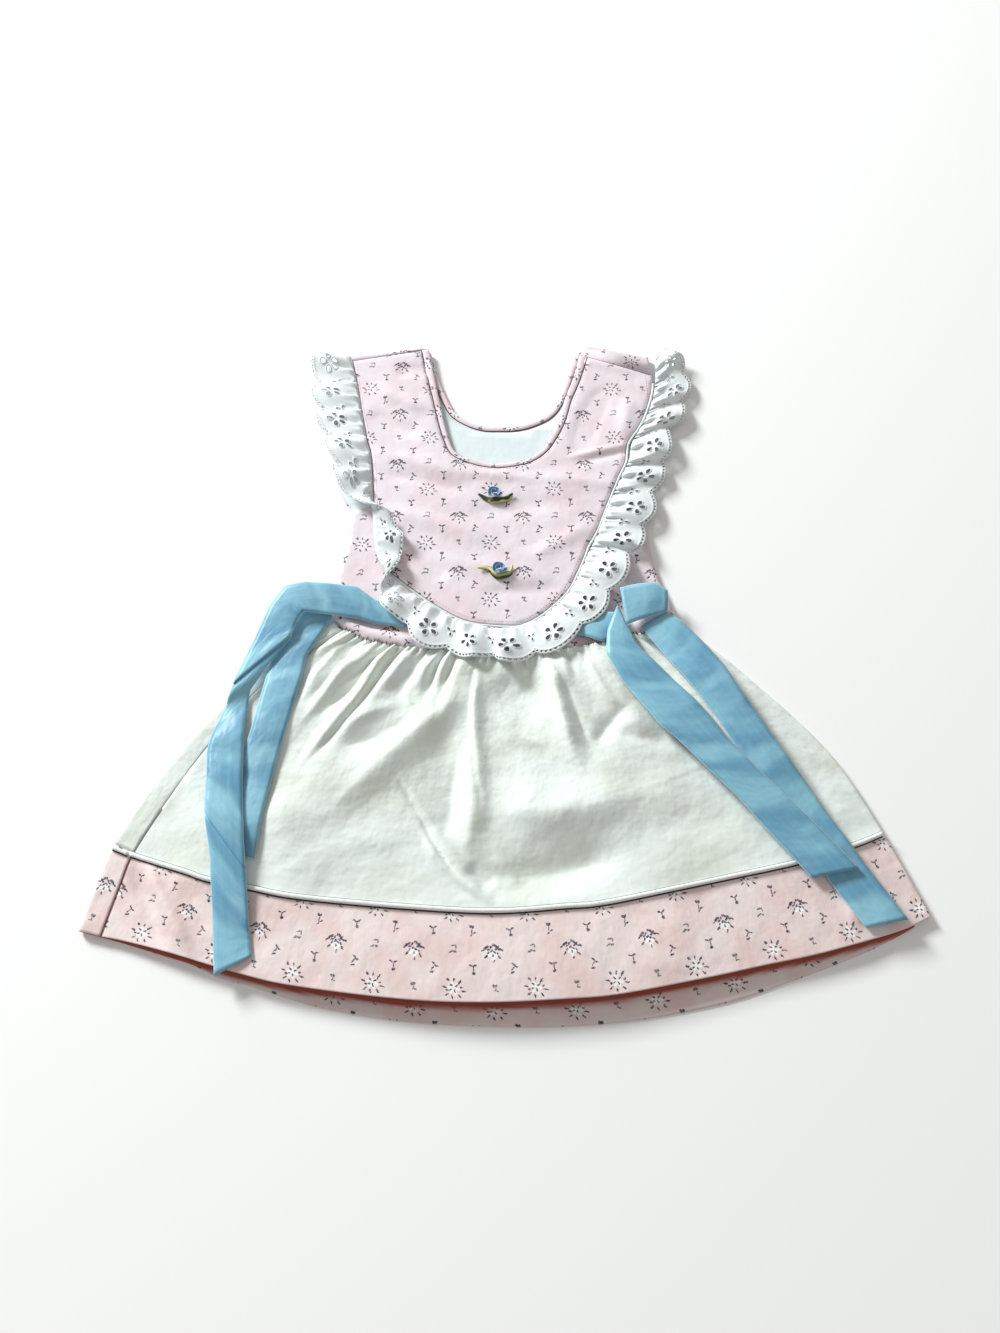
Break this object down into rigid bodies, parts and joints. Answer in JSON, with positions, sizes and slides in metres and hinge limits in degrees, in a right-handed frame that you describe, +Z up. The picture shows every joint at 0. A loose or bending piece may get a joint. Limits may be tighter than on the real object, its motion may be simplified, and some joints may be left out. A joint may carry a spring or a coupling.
{
  "type": "apron dress",
  "caption": "Toddler's sleeveless apron dress laid flat: printed bib and hem band, gathered white skirt, eyelet ruffle, satin ties at the sides and ribbon roses.",
  "frame": {"origin": "middle of the laid-out dress on the surface that it lies on", "axes": "+Z up from the surface out of the dress's front, +Y from the hem to the neck, +X to the viewer's right"},
  "size_m": [0.5354, 0.517, 0.0184],
  "materials": {
    "white_cotton": "matte plain-weave cotton",
    "pink_print": null,
    "white_lace": "matte embroidered eyelet cotton",
    "blue_satin": "soft satin sheen",
    "green_satin": "soft satin sheen",
    "white_cord": "matte corded cotton"
  },
  "bodies": {
    "root": {"back_lining": "white_cotton", "back_neck_binding": "pink_print", "bib": "pink_print", "bodice_back": "pink_print", "bodice_front": "pink_print", "eyelet_ruffle": "white_lace", "front_neck_binding": "pink_print", "hem_band_back": "pink_print", "hem_band_front": "pink_print", "hem_piping": "white_cord", "rose_1": "blue_satin", "rose_2": "blue_satin", "rose_leaves_1": "green_satin", "rose_leaves_2": "green_satin", "skirt_back": "white_cotton", "skirt_front": "white_cotton", "tie_left_back": "blue_satin", "tie_left_front": "blue_satin", "tie_right_back": "blue_satin", "tie_right_front": "blue_satin", "tie_right_front_start": "blue_satin", "tie_right_loop": "blue_satin"}
  },
  "joints": []
}
